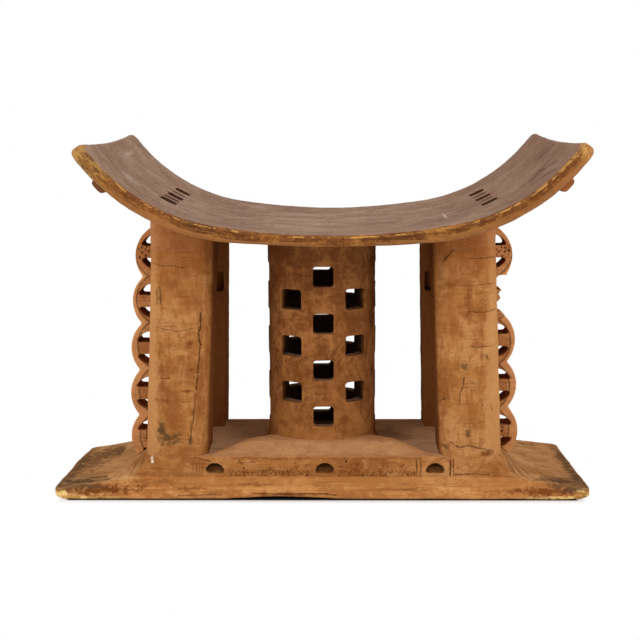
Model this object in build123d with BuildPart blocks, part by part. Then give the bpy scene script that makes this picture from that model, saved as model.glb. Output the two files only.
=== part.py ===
from build123d import *
import os
from math import asin, atan2, cos, degrees, radians, sin

# A carved stool: a curved seat on four corner columns and one hollow, pierced centre column,
# with an openwork screen of scalloped discs between the columns at each end.
# Millimetres. +X runs along the stool's length, the front faces -Y, +Z is up, z = 0 is the floor.

# Base board: a slab whose top falls away from the plinth to all four edges.
BASE_FRONT_LENGTH = 560
BASE_BACK_LENGTH = 551
BASE_DEPTH = 183
BASE_EDGE_THICKNESS = 13
BASE_CROWN_HEIGHT = 24
BASE_CORNER_RADIUS = 9
BASE_EDGE_BEVEL = 2

# Plinth: the raised block under the columns, with half-moon niches in both long faces.
# At each end a hollow cove carries it down to the board.
PLINTH_LENGTH = 376
PLINTH_SHIFT = 2
PLINTH_DEPTH = 168
PLINTH_TOP = 45
COVE_LENGTH = 42
COVE_LIP = 0.8
NICHE_RADIUS = 9.8
NICHE_RISE = 3.3
NICHE_DEPTH = 10
NICHE_PITCH = 115
NICHE_SHIFT = 3.5

# Corner columns: rounded blocks that lean inwards as they rise.
COLUMN_TOP = 266
COLUMN_GAP = 44
FRONT_COLUMN_WIDTH = 67
FRONT_COLUMN_LEAN = 9.5
REAR_COLUMN_WIDTH = 76
REAR_COLUMN_LEAN = 4
OUTER_CORNER_RADIUS = 27
INNER_CORNER_RADIUS = 17
GAP_CORNER_RADIUS = 3.5
RECESS_WIDTH = 18
RECESS_HEIGHT = 20
RECESS_DEPTH = 12
RECESS_INSET = 4
RECESS_CENTRE_HEIGHT = 216

# Centre column: a tube pierced by square holes in a draughtboard pattern.
CENTRE_RADIUS = 58.5
CENTRE_FOOT_RADIUS = 63
CENTRE_FOOT_HEIGHT = 14
CENTRE_BORE_RADIUS = 44
HOLE_WIDTH = 20
SIDE_HOLE_WIDTH = 24
FRONT_ROW_PITCH = 49.5
FRONT_ROW_CENTRE = 155.7
BACK_ROW_PITCH = 54
BACK_ROW_CENTRE = 151.5
LEFT_BACK_ROW_CENTRE = 157
SIDE_HOLE_ANGLE = 36.5
HOLE_TURN = 2

# Seat: a plank bent up at both ends by two tighter arcs, dished from front to back.
# Its top and its underside are three broad faces each: a middle one and two end ones.
SEAT_DEPTH = 290
SEAT_SHIFT = 11.7
SEAT_CENTRE_HEIGHT = 281.5
SEAT_BACK_RISE = 10
SEAT_DISH = 4.5
SEAT_MIDDLE_RADIUS = 680
SEAT_END_RADIUS = 190
SEAT_FRONT_MIDDLE = 116
SEAT_BACK_MIDDLE = 110
SEAT_END_ANGLE = 55.3
SEAT_MIDDLE_THICKNESS = 12.5
SEAT_END_THICKNESS = 16
SEAT_CORNER_RADIUS = 13
SEAT_EDGE_BEVEL = 3
SEAT_BROAD_FACES = 6

# Slots: five in a row across each end of the seat, wide and narrow in turn.
SLOT_COUNT = 5
SLOT_LENGTH = 15
SLOT_DEPTH = 8
SLOT_PITCH = 26
SLOT_WIDE = 20
SLOT_NARROW = 9
LEFT_SLOT_SHIFT = 15.5
RIGHT_SLOT_SHIFT = 27
LEFT_SLOT_ANGLE = 27.8
RIGHT_SLOT_ANGLE = 25.9

# Lugs: one short block under each end of the seat.
LUG_WIDTH = 18
LUG_DEPTH = 24
LUG_LENGTH = 29
LUG_ANGLE = 47.3
LUG_POCKET = 1
LUG_ROUNDING = 6

# End screens: a web between the columns, edged with five openwork discs.
SCREEN_WEB_INNER = 135
SCREEN_WEB_OUTER = 178
DISC_COUNT = 5
LEFT_DISC_LOWEST = 50
LEFT_DISC_PITCH = 47.3
LEFT_PITCH_GROWTH = 0.8
RIGHT_DISC_LOWEST = 56
RIGHT_DISC_PITCH = 51.5
RIGHT_PITCH_GROWTH = -0.6
TOP_DISC_DROP = 4.5
DISC_REACH = 212
DISC_STEP_IN = 9.6
LEFT_DISC_CURVE = 2
RIGHT_DISC_CURVE = 1
DISC_OUTLINE_RADIUS = 36.5
DISC_RIM = 5.5
DISC_OPENING_RADIUS = 18.2
DISC_BAND_HEIGHT = 14
DISC_OPENING_INNER = 6
BROKEN_DISC = 3
BREAK_LINE = 190

os.makedirs("parts", exist_ok=True)

column_depth = (PLINTH_DEPTH - COLUMN_GAP) / 2
column_rise = COLUMN_TOP - PLINTH_TOP
corner_columns = (
    ("front_left_column", -1, -1, FRONT_COLUMN_WIDTH, FRONT_COLUMN_LEAN),
    ("front_right_column", 1, -1, FRONT_COLUMN_WIDTH, FRONT_COLUMN_LEAN),
    ("rear_left_column", -1, 1, REAR_COLUMN_WIDTH, REAR_COLUMN_LEAN),
    ("rear_right_column", 1, 1, REAR_COLUMN_WIDTH, REAR_COLUMN_LEAN),
)


def draw_column_section(sketch, side, face, width, lean):
    """Draw one corner column's section: side is -1 left or 1 right, face is -1 front or 1 rear."""
    outer = PLINTH_SHIFT + side * (PLINTH_LENGTH / 2 - lean)
    inner = outer - side * width
    gap_line = face * COLUMN_GAP / 2
    face_line = face * PLINTH_DEPTH / 2
    with Locations(((outer + inner) / 2, (gap_line + face_line) / 2)):
        Rectangle(width, column_depth)
    corners = (
        (outer, face_line, OUTER_CORNER_RADIUS),
        (inner, face_line, INNER_CORNER_RADIUS),
        (outer, gap_line, GAP_CORNER_RADIUS),
        (inner, gap_line, GAP_CORNER_RADIUS),
    )
    for x, y, radius in corners:
        fillet(sketch.vertices().sort_by_distance((x, y, 0))[0], radius)


def draw_plinth_end(side):
    """Draw a plinth end's section: its top, and the cove that runs out on the board's sloping top."""
    plinth_end = PLINTH_SHIFT + side * PLINTH_LENGTH / 2
    board_slope = (BASE_EDGE_THICKNESS - BASE_CROWN_HEIGHT) / (side * BASE_FRONT_LENGTH / 2 - plinth_end)
    cove_end = plinth_end + side * COVE_LENGTH
    toe = (cove_end, BASE_CROWN_HEIGHT + board_slope * side * COVE_LENGTH + COVE_LIP)
    top = (plinth_end, PLINTH_TOP)
    axis_x = plinth_end - side * OUTER_CORNER_RADIUS
    TangentArc(toe, top, tangent=(-side, -side * board_slope))
    Polyline(top, (axis_x, PLINTH_TOP), (axis_x, 0), (cove_end, 0), toe)


def seat_lift(y):
    """Height of the seat's middle line at depth y, above the front edge."""
    share = y / SEAT_DEPTH + 0.5
    return SEAT_BACK_RISE * share - SEAT_DISH * 4 * share * (1 - share)


def seat_middle(y):
    """Half length of the seat's flatter middle arc at depth y."""
    share = y / SEAT_DEPTH + 0.5
    return SEAT_FRONT_MIDDLE + (SEAT_BACK_MIDDLE - SEAT_FRONT_MIDDLE) * share


def end_arc_centre(y):
    """Centre of the right-hand end arcs at depth y, from the seat's middle: (x, z)."""
    middle_angle = asin(seat_middle(y) / SEAT_MIDDLE_RADIUS)
    reach = SEAT_MIDDLE_RADIUS - SEAT_END_RADIUS
    x = reach * sin(middle_angle)
    z = SEAT_CENTRE_HEIGHT + seat_lift(y) + SEAT_MIDDLE_RADIUS - reach * cos(middle_angle)
    return x, z


def draw_seat_line(y, middle_drop, end_drop):
    """Draw the seat's long curve at depth y, set down by two drops, and return its two ends."""
    x, z = end_arc_centre(y)
    end_radius = SEAT_END_RADIUS + end_drop
    middle_height = SEAT_CENTRE_HEIGHT + seat_lift(y) - middle_drop
    rise = z - middle_height
    middle_radius = (end_radius**2 - x**2 - rise**2) / (2 * (end_radius - rise))
    middle_angle = degrees(atan2(x, middle_radius - rise))
    end_sweep = SEAT_END_ANGLE - middle_angle
    left_arc = CenterArc((SEAT_SHIFT - x, z), end_radius, 270 - SEAT_END_ANGLE, end_sweep)
    middle_centre = (SEAT_SHIFT, middle_height + middle_radius)
    CenterArc(middle_centre, middle_radius, 270 - middle_angle, 2 * middle_angle)
    right_arc = CenterArc((SEAT_SHIFT + x, z), end_radius, 270 + middle_angle, end_sweep)
    return left_arc @ 0, right_arc @ 1


def seat_plane(side, angle, radius):
    """Plane square to the seat's end arc at mid depth, facing away from its centre, y to the back."""
    x, z = end_arc_centre(0)
    away = (side * sin(radians(angle)), 0, -cos(radians(angle)))
    along = (-cos(radians(angle)), 0, -side * sin(radians(angle)))
    origin = (SEAT_SHIFT + side * x + radius * away[0], 0, z + radius * away[2])
    return Plane(origin=origin, x_dir=along, z_dir=away)


def disc_edge(side, disc):
    """Outermost point (x, z) of a screen's disc: the discs step inwards towards the seat."""
    share = disc / (DISC_COUNT - 1)
    if side < 0:
        step = DISC_STEP_IN * share**LEFT_DISC_CURVE
        z = LEFT_DISC_LOWEST + disc * LEFT_DISC_PITCH + disc**2 * LEFT_PITCH_GROWTH
    else:
        step = DISC_STEP_IN * share**RIGHT_DISC_CURVE
        z = RIGHT_DISC_LOWEST + disc * RIGHT_DISC_PITCH + disc**2 * RIGHT_PITCH_GROWTH
    return PLINTH_SHIFT + side * (DISC_REACH - step), z


# ---------------------------------------------------------------- base board
crown_rise = BASE_CROWN_HEIGHT - BASE_EDGE_THICKNESS
with BuildPart() as base_board:
    with BuildSketch():
        Rectangle(BASE_FRONT_LENGTH, BASE_DEPTH)
    extrude(amount=BASE_EDGE_THICKNESS)
    with BuildSketch(Plane.XY.offset(BASE_EDGE_THICKNESS)):
        Rectangle(BASE_FRONT_LENGTH, BASE_DEPTH)
    with BuildSketch(Plane.XY.offset(BASE_CROWN_HEIGHT)):
        with Locations((PLINTH_SHIFT, 0)):
            Rectangle(PLINTH_LENGTH, PLINTH_DEPTH)
    loft(ruled=True)
    with BuildSketch() as base_plan:
        with BuildLine():
            Polyline(
                (-BASE_FRONT_LENGTH / 2, -BASE_DEPTH / 2),
                (BASE_FRONT_LENGTH / 2, -BASE_DEPTH / 2),
                (BASE_BACK_LENGTH / 2, BASE_DEPTH / 2),
                (-BASE_BACK_LENGTH / 2, BASE_DEPTH / 2),
                close=True,
            )
        make_face()
        fillet(base_plan.vertices(), BASE_CORNER_RADIUS)
    extrude(amount=BASE_CROWN_HEIGHT, mode=Mode.INTERSECT)
    chamfer(base_board.faces().sort_by(Axis.Z)[0].edges(), BASE_EDGE_BEVEL)
base_board.part.label = "base_board"
export_step(base_board.part, "parts/base_board.step")

# ---------------------------------------------------------------- plinth
with BuildPart() as coves:
    straight_half = PLINTH_DEPTH / 2 - OUTER_CORNER_RADIUS
    for side in (-1, 1):
        axis_x = PLINTH_SHIFT + side * (PLINTH_LENGTH / 2 - OUTER_CORNER_RADIUS)
        with BuildSketch(Plane.XZ):
            with BuildLine():
                draw_plinth_end(side)
            make_face()
        extrude(amount=straight_half, both=True)
        for corner_y in (-straight_half, straight_half):
            with BuildSketch(Plane.XZ.offset(-corner_y)):
                with BuildLine():
                    draw_plinth_end(side)
                make_face()
            revolve(axis=Axis((axis_x, corner_y, 0), (0, 0, 1)))
    add(base_board.part, mode=Mode.SUBTRACT)
    with BuildSketch(Plane.XY.offset(BASE_EDGE_THICKNESS)):
        Rectangle(BASE_FRONT_LENGTH, PLINTH_DEPTH)
    extrude(amount=PLINTH_TOP, mode=Mode.INTERSECT)

with BuildPart() as plinth:
    with BuildSketch(Plane.XY.offset(BASE_CROWN_HEIGHT)):
        with Locations((PLINTH_SHIFT, 0)):
            RectangleRounded(PLINTH_LENGTH, PLINTH_DEPTH, OUTER_CORNER_RADIUS)
    extrude(amount=PLINTH_TOP - BASE_CROWN_HEIGHT)
    add(coves.part)
    sill = BASE_CROWN_HEIGHT + NICHE_RISE
    with BuildSketch(Plane.XZ) as niche_fronts:
        with Locations((NICHE_SHIFT, sill)):
            with GridLocations(NICHE_PITCH, 0, 3, 1):
                Circle(NICHE_RADIUS)
        with Locations((0, sill - NICHE_RADIUS)):
            Rectangle(PLINTH_LENGTH, 2 * NICHE_RADIUS, mode=Mode.SUBTRACT)
    for face_plane in (Plane.XZ.offset(PLINTH_DEPTH / 2), Plane.XZ.offset(NICHE_DEPTH - PLINTH_DEPTH / 2)):
        with BuildSketch(face_plane):
            add(niche_fronts.sketch_local)
        extrude(amount=-NICHE_DEPTH, mode=Mode.SUBTRACT)
plinth.part.label = "plinth"
export_step(plinth.part, "parts/plinth.step")

# ---------------------------------------------------------------- corner columns
for name, side, face, width, lean in corner_columns:
    with BuildPart() as column:
        for height, shift in ((PLINTH_TOP, 0), (COLUMN_TOP, lean)):
            with BuildSketch(Plane.XY.offset(height)) as section:
                draw_column_section(section, side, face, width, shift)
        loft(ruled=True)
        if face > 0:
            recess_lean = lean * (RECESS_CENTRE_HEIGHT - PLINTH_TOP) / column_rise
            recess_middle = PLINTH_LENGTH / 2 - recess_lean - width + RECESS_INSET + RECESS_WIDTH / 2
            recess_x = PLINTH_SHIFT + side * recess_middle
            with Locations((recess_x, COLUMN_GAP / 2, RECESS_CENTRE_HEIGHT)):
                Box(RECESS_WIDTH, 2 * RECESS_DEPTH, RECESS_HEIGHT, mode=Mode.SUBTRACT)
    column.part.label = name
    export_step(column.part, f"parts/{name}.step")

# ---------------------------------------------------------------- centre column
hole_columns = (
    (0, 4, HOLE_WIDTH, FRONT_ROW_PITCH, FRONT_ROW_CENTRE),
    (SIDE_HOLE_ANGLE, 3, SIDE_HOLE_WIDTH, FRONT_ROW_PITCH, FRONT_ROW_CENTRE),
    (-SIDE_HOLE_ANGLE, 3, SIDE_HOLE_WIDTH, FRONT_ROW_PITCH, FRONT_ROW_CENTRE),
    (90, 4, HOLE_WIDTH, FRONT_ROW_PITCH, FRONT_ROW_CENTRE),
    (-90, 4, HOLE_WIDTH, FRONT_ROW_PITCH, FRONT_ROW_CENTRE),
    (180 - SIDE_HOLE_ANGLE, 3, SIDE_HOLE_WIDTH, BACK_ROW_PITCH, BACK_ROW_CENTRE),
    (180 + SIDE_HOLE_ANGLE, 3, SIDE_HOLE_WIDTH, BACK_ROW_PITCH, LEFT_BACK_ROW_CENTRE),
    (180, 4, HOLE_WIDTH, BACK_ROW_PITCH, BACK_ROW_CENTRE),
)
with BuildPart() as central_column:
    with BuildSketch(Plane.XZ):
        with BuildLine():
            foot_top = (CENTRE_RADIUS, PLINTH_TOP + CENTRE_FOOT_HEIGHT)
            Line((CENTRE_BORE_RADIUS, PLINTH_TOP), (CENTRE_FOOT_RADIUS, PLINTH_TOP))
            TangentArc(foot_top, (CENTRE_FOOT_RADIUS, PLINTH_TOP), tangent=(0, -1))
            Line(foot_top, (CENTRE_RADIUS, COLUMN_TOP))
            Line((CENTRE_RADIUS, COLUMN_TOP), (CENTRE_BORE_RADIUS, COLUMN_TOP))
            Line((CENTRE_BORE_RADIUS, COLUMN_TOP), (CENTRE_BORE_RADIUS, PLINTH_TOP))
        make_face()
    revolve(axis=Axis.Z)
    wall_middle = (CENTRE_BORE_RADIUS + CENTRE_RADIUS) / 2
    for angle, rows, hole_width, pitch, row_centre in hole_columns:
        x = wall_middle * sin(radians(angle + HOLE_TURN))
        y = -wall_middle * cos(radians(angle + HOLE_TURN))
        for row in range(rows):
            z = row_centre + (row - (rows - 1) / 2) * pitch
            with Locations(Location((x, y, z), (0, 0, angle + HOLE_TURN))):
                Box(hole_width, CENTRE_BORE_RADIUS, HOLE_WIDTH, mode=Mode.SUBTRACT)
central_column.part.label = "central_column"
export_step(central_column.part, "parts/central_column.step")

# ---------------------------------------------------------------- end screens
for name, side in (("left_end_screen", -1), ("right_end_screen", 1)):
    plinth_end = PLINTH_SHIFT + side * PLINTH_LENGTH / 2
    board_end = side * BASE_FRONT_LENGTH / 2
    web_inner = PLINTH_SHIFT + side * SCREEN_WEB_INNER
    web_outer = PLINTH_SHIFT + side * SCREEN_WEB_OUTER
    with BuildPart() as screen:
        with BuildSketch(Plane.XZ) as outline:
            with Locations(((web_inner + web_outer) / 2, PLINTH_TOP + column_rise / 2)):
                Rectangle(SCREEN_WEB_OUTER - SCREEN_WEB_INNER, column_rise)
            for disc in range(DISC_COUNT):
                x, z = disc_edge(side, disc)
                if disc == DISC_COUNT - 1:
                    z = z - TOP_DISC_DROP
                with Locations((x - side * DISC_OUTLINE_RADIUS, z)):
                    Circle(DISC_OUTLINE_RADIUS)
            # The seat's own stump takes the place of the topmost disc above the columns' top.
            with Locations((web_outer - side * SCREEN_WEB_OUTER / 2, COLUMN_TOP + SEAT_END_RADIUS / 2)):
                Rectangle(SCREEN_WEB_OUTER, SEAT_END_RADIUS, mode=Mode.SUBTRACT)
            # The lowest disc stops at the plinth, at its cove and at the sloping top of the board.
            with BuildLine():
                Polyline(
                    (PLINTH_SHIFT, PLINTH_TOP),
                    (plinth_end, PLINTH_TOP),
                    (plinth_end, BASE_CROWN_HEIGHT),
                    (board_end, BASE_EDGE_THICKNESS),
                    (board_end, -PLINTH_TOP),
                    (PLINTH_SHIFT, -PLINTH_TOP),
                    close=True,
                )
            make_face(mode=Mode.SUBTRACT)
            with BuildLine():
                draw_plinth_end(side)
            make_face(mode=Mode.SUBTRACT)
        extrude(amount=COLUMN_GAP / 2, both=True)
        with BuildSketch(Plane.XZ) as openings:
            for disc in range(DISC_COUNT):
                x, z = disc_edge(side, disc)
                x = x - side * (DISC_RIM + DISC_OPENING_RADIUS)
                with Locations((x, z)):
                    Circle(DISC_OPENING_RADIUS)
                    Rectangle(2 * DISC_OPENING_RADIUS, DISC_BAND_HEIGHT, mode=Mode.SUBTRACT)
                with Locations((x - side * (DISC_OPENING_INNER + DISC_OPENING_RADIUS), z)):
                    Rectangle(2 * DISC_OPENING_RADIUS, 2 * DISC_OPENING_RADIUS, mode=Mode.SUBTRACT)
        extrude(amount=COLUMN_GAP / 2, both=True, mode=Mode.SUBTRACT)
        if side > 0:
            # The splintered stump of the broken disc: each corner is (out from the break, up from its foot).
            break_height = disc_edge(side, BROKEN_DISC - 0.5)[1]
            break_rise = disc_edge(side, BROKEN_DISC + 0.5)[1] - TOP_DISC_DROP / 2 - break_height
            break_corners = (
                (BREAK_LINE, 0),
                (8, 1),
                (7, 4),
                (1, 8),
                (5, 14),
                (0, 17),
                (3, 22),
                (0, 26),
                (4, 30),
                (-1, 34),
                (-2, 43),
                (0, break_rise),
                (BREAK_LINE, break_rise),
            )
            with BuildSketch(Plane(origin=(BREAK_LINE, 0, break_height), x_dir=(1, 0, 0), z_dir=(0, -1, 0))):
                with BuildLine():
                    Polyline(*break_corners, close=True)
                make_face()
            extrude(amount=COLUMN_GAP / 2, both=True, mode=Mode.SUBTRACT)
    screen.part.label = name
    export_step(screen.part, f"parts/{name}.step")

# ---------------------------------------------------------------- seat
# The heads are the seat's own stumps: each meets the flat top of a column or a screen.
with BuildPart() as under_seat:
    for y in (-SEAT_DEPTH / 2, 0, SEAT_DEPTH / 2):
        with BuildSketch(Plane.XZ.offset(-y)):
            with BuildLine():
                left, right = draw_seat_line(y, SEAT_MIDDLE_THICKNESS / 2, SEAT_END_THICKNESS / 2)
                Polyline(left, (left.X, 0), (right.X, 0), right)
            make_face()
    loft()

with BuildPart() as heads:
    head_rise = SEAT_END_RADIUS
    for name, side, face, width, lean in corner_columns:
        with BuildSketch(Plane.XY.offset(COLUMN_TOP)) as section:
            draw_column_section(section, side, face, width, lean)
        extrude(amount=head_rise)
    with BuildSketch(Plane.XY.offset(COLUMN_TOP)):
        with Locations((PLINTH_SHIFT, 0)):
            with GridLocations(SCREEN_WEB_INNER + SCREEN_WEB_OUTER, 0, 2, 1):
                Rectangle(SCREEN_WEB_OUTER - SCREEN_WEB_INNER, COLUMN_GAP)
    extrude(amount=head_rise)
    with BuildSketch(Plane.XY.offset(COLUMN_TOP)):
        Circle(CENTRE_RADIUS)
        Circle(CENTRE_BORE_RADIUS, mode=Mode.SUBTRACT)
    extrude(amount=head_rise)
    add(under_seat.part, mode=Mode.INTERSECT)

with BuildPart() as seat:
    for y in (-SEAT_DEPTH / 2, 0, SEAT_DEPTH / 2):
        with BuildSketch(Plane.XZ.offset(-y)):
            with BuildLine():
                top_left, top_right = draw_seat_line(y, 0, 0)
                bottom_left, bottom_right = draw_seat_line(y, SEAT_MIDDLE_THICKNESS, SEAT_END_THICKNESS)
                Line(top_left, bottom_left)
                Line(top_right, bottom_right)
            make_face()
    loft()
    thickness_edges = seat.edges().filter_by(lambda edge: edge.length < 2 * SEAT_END_THICKNESS)
    fillet(thickness_edges, SEAT_CORNER_RADIUS)
    broad_faces = seat.faces().sort_by(SortBy.AREA)[-SEAT_BROAD_FACES:]
    rim_faces = seat.faces().sort_by(SortBy.AREA)[:-SEAT_BROAD_FACES]
    broad_centres = [edge.center() for face in broad_faces for edge in face.edges()]
    rim_edges = ShapeList()
    for face in rim_faces:
        for edge in face.edges():
            if any((edge.center() - centre).length < SEAT_EDGE_BEVEL / 100 for centre in broad_centres):
                rim_edges.append(edge)
    chamfer(rim_edges, SEAT_EDGE_BEVEL)
    add(heads.part)
    slot_rows = ((-1, LEFT_SLOT_SHIFT, LEFT_SLOT_ANGLE), (1, RIGHT_SLOT_SHIFT, RIGHT_SLOT_ANGLE))
    for side, row_shift, row_angle in slot_rows:
        with BuildSketch(seat_plane(side, row_angle, SEAT_END_RADIUS + SLOT_DEPTH)):
            for slot in range(SLOT_COUNT):
                slot_width = SLOT_NARROW if slot % 2 else SLOT_WIDE
                slot_y = row_shift + (slot - (SLOT_COUNT - 1) / 2) * SLOT_PITCH
                with Locations((0, slot_y)):
                    Rectangle(SLOT_LENGTH, slot_width)
        extrude(amount=-2 * SLOT_DEPTH, mode=Mode.SUBTRACT)
        with BuildSketch(seat_plane(side, LUG_ANGLE, SEAT_END_RADIUS + SEAT_END_THICKNESS - LUG_POCKET)):
            Rectangle(LUG_WIDTH, LUG_DEPTH)
        extrude(amount=LUG_LENGTH, mode=Mode.SUBTRACT)
seat.part.label = "seat"
export_step(seat.part, "parts/seat.step")

# ---------------------------------------------------------------- lugs
for name, side in (("left_lug", -1), ("right_lug", 1)):
    with BuildPart() as lug:
        lug_root = seat_plane(side, LUG_ANGLE, SEAT_END_RADIUS + SEAT_END_THICKNESS - LUG_POCKET)
        with BuildSketch(lug_root):
            Rectangle(LUG_WIDTH, LUG_DEPTH)
        extrude(amount=LUG_LENGTH + LUG_POCKET)
        tip = lug.faces().sort_by_distance(lug_root.origin)[-1]
        fillet(tip.edges(), LUG_ROUNDING)
    lug.part.label = name
    export_step(lug.part, f"parts/{name}.step")
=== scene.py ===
"""Dresses a carved stool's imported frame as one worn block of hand-cut wood.

Metres. +X runs along the stool's length, the front faces -Y, +Z is up and z = 0 is the floor.
Every member is skinned on its own solid: copied, run a little way into its neighbours so that
no seam shows, turned into an even skin, worn, and dressed in a procedural wood.
"""

import logging
import math
from collections.abc import Callable, Iterator
from contextlib import contextmanager
from dataclasses import dataclass
from enum import Enum

import bpy
from mathutils import Matrix, Vector

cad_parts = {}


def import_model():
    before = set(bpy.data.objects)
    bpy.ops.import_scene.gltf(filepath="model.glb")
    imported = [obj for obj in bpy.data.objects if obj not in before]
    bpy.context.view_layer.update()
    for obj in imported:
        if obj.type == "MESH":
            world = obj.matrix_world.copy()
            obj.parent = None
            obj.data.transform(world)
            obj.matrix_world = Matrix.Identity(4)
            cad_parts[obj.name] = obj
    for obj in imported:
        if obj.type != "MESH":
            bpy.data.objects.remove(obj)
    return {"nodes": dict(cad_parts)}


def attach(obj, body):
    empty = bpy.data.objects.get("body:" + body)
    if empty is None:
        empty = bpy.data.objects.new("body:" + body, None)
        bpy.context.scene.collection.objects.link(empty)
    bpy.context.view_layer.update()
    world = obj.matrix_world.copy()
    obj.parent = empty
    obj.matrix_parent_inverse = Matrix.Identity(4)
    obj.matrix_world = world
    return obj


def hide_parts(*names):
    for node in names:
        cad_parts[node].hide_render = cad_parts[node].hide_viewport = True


LOG = logging.getLogger("stool")

BODY = "root"
MERGE_DISTANCE = 1e-5
FLATNESS = 3e-4
LAP_LENGTH = 0.006
LAP_TILT = 0.9
SMOOTHING = 0.5
WAVE_SIZE = 0.035
BLADE_WIDTH = 0.006
TEXTURE_DEPTH = 2
MILLIMETRES = 1000
PLINTH_TOP = 0.045
HEAD_SEAM = 0.266
LIT_EDGE = 0.174
LINE_WAVER = 0.0016
NOWHERE = (0.0, 0.0, 0.0)
WHITE = (1.0, 1.0, 1.0, 1.0)

Socket = bpy.types.NodeSocket
Point = tuple[float, float, float]


# ---------------------------------------------------------------- colours and marks
@dataclass(frozen=True)
class Tint:
    """A colour as a paint chart gives it, each share from 0 to 255."""

    red: int
    green: int
    blue: int

    def linear(self) -> tuple[float, float, float, float]:
        """Returns the colour as linear light with full alpha."""
        shares = (((share / 255 + 0.055) / 1.055) ** 2.4 for share in (self.red, self.green, self.blue))
        return (*shares, 1.0)


@dataclass(frozen=True)
class WoodTones:
    """The tones that one wood is mixed from."""

    ground: Tint
    pale: Tint
    dark: Tint
    stain: Tint
    worn: Tint
    # Dirt, also laid as painted shade in creases and hollows.
    dirt_and_shade: Tint


class Sheet(Enum):
    """The side of the stool that marks are drawn on."""

    FRONT = "front"
    TOP = "top"
    SEAT = "seat"


@dataclass(frozen=True)
class Crack:
    """A split in the wood: a line through points given as (x, height), and its half width."""

    points: tuple[tuple[float, float], ...]
    width: float
    strength: float


@dataclass(frozen=True)
class Smudge:
    """A blotch on the wood: its middle (x, height), half sizes, colour and strength."""

    middle: tuple[float, float]
    reach: tuple[float, float]
    tint: Tint
    strength: float


def tones(*rows: tuple[int, int, int]) -> WoodTones:
    """Returns a wood's tones from six colours, in the order in which WoodTones names them."""
    return WoodTones(*(Tint(*row) for row in rows))


def crack(width: float, strength: float, *points: tuple[float, float]) -> Crack:
    """Returns a split, its half width and points given in millimetres."""
    line = tuple((x / MILLIMETRES, height / MILLIMETRES) for x, height in points)
    return Crack(line, width / MILLIMETRES, strength)


def smudges(tint: Tint, *rows: tuple[float, float, float, float, float]) -> tuple[Smudge, ...]:
    """Returns blotches of one colour.

    Args:
        tint: The colour.
        *rows: Each blotch's middle (x, height) and half sizes in millimetres, and its strength.
    """
    blotches = []
    for *lengths, strength in rows:
        x, height, along, up = (length / MILLIMETRES for length in lengths)
        blotches.append(Smudge((x, height), (along, up), tint, strength))
    return tuple(blotches)


CRACK_BLACK = Tint(50, 34, 22)
SMUDGE_GREY = Tint(84, 62, 36)
SCAR_BROWN = Tint(118, 64, 28)
DUST = Tint(158, 122, 94)
# Painted shade for deep hollows: the niches and the centre column's bore.
RECESS_SHADE = Tint(34, 22, 14)
# Painted shade for the inside of the seat's slots.
SLOT_SHADE = Tint(62, 34, 20)
CHALK = Tint(205, 190, 172)
# Painted light: a pale spot standing in for light seen through a pin hole.
PIN_HOLE_LIGHT = Tint(232, 214, 190)
END_GREY = Tint(92, 66, 46)
FAN_BROWN = Tint(116, 80, 54)
FAN_PALE = Tint(196, 152, 108)
PUNCH_BROWN = Tint(96, 52, 24)
# Painted light for the plinth's top and for the hollows beside the centre column.
HOLLOW_LIGHT = Tint(216, 170, 128)
MOUND_LIGHT = Tint(196, 146, 104)
GOLD_LEAF = Tint(206, 150, 74)
LUG_BROWN = Tint(104, 62, 30)

BODY_TONES = tones(
    (169, 112, 60), (196, 141, 88), (135, 83, 40), (141, 80, 37), (206, 152, 98), (74, 45, 22)
)
SHADE_TONES = tones(
    (138, 86, 45), (164, 108, 62), (102, 59, 30), (110, 61, 30), (160, 104, 60), (50, 30, 17)
)
# Painted shade: a darkened copy of the column wood, for faces kept in shadow by the seat and the front
# columns.
REAR_SHADE_TONES = tones(
    (136, 82, 42), (156, 98, 54), (98, 56, 27), (104, 58, 28), (140, 86, 46), (44, 26, 14)
)
DISC_TONES = tones(
    (200, 134, 82), (222, 162, 106), (160, 100, 56), (166, 100, 56), (216, 158, 102), (66, 40, 22)
)
BOARD_TONES = tones(
    (192, 140, 90), (212, 164, 112), (150, 104, 62), (160, 104, 58), (206, 158, 108), (78, 52, 34)
)
GOLD_TONES = tones(
    (199, 136, 78), (219, 164, 102), (163, 103, 54), (168, 102, 52), (222, 170, 96), (68, 39, 17)
)
EDGE_TONES = tones(
    (122, 70, 27), (174, 116, 50), (84, 46, 17), (96, 52, 20), (176, 120, 54), (66, 38, 17)
)
TIP_TONES = tones(
    (164, 110, 46), (204, 156, 86), (108, 64, 26), (116, 69, 28), (240, 204, 132), (78, 46, 20)
)
SEAT_TONES = tones(
    (146, 113, 91), (176, 146, 125), (112, 80, 61), (120, 82, 60), (172, 136, 108), (70, 46, 34)
)

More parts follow.
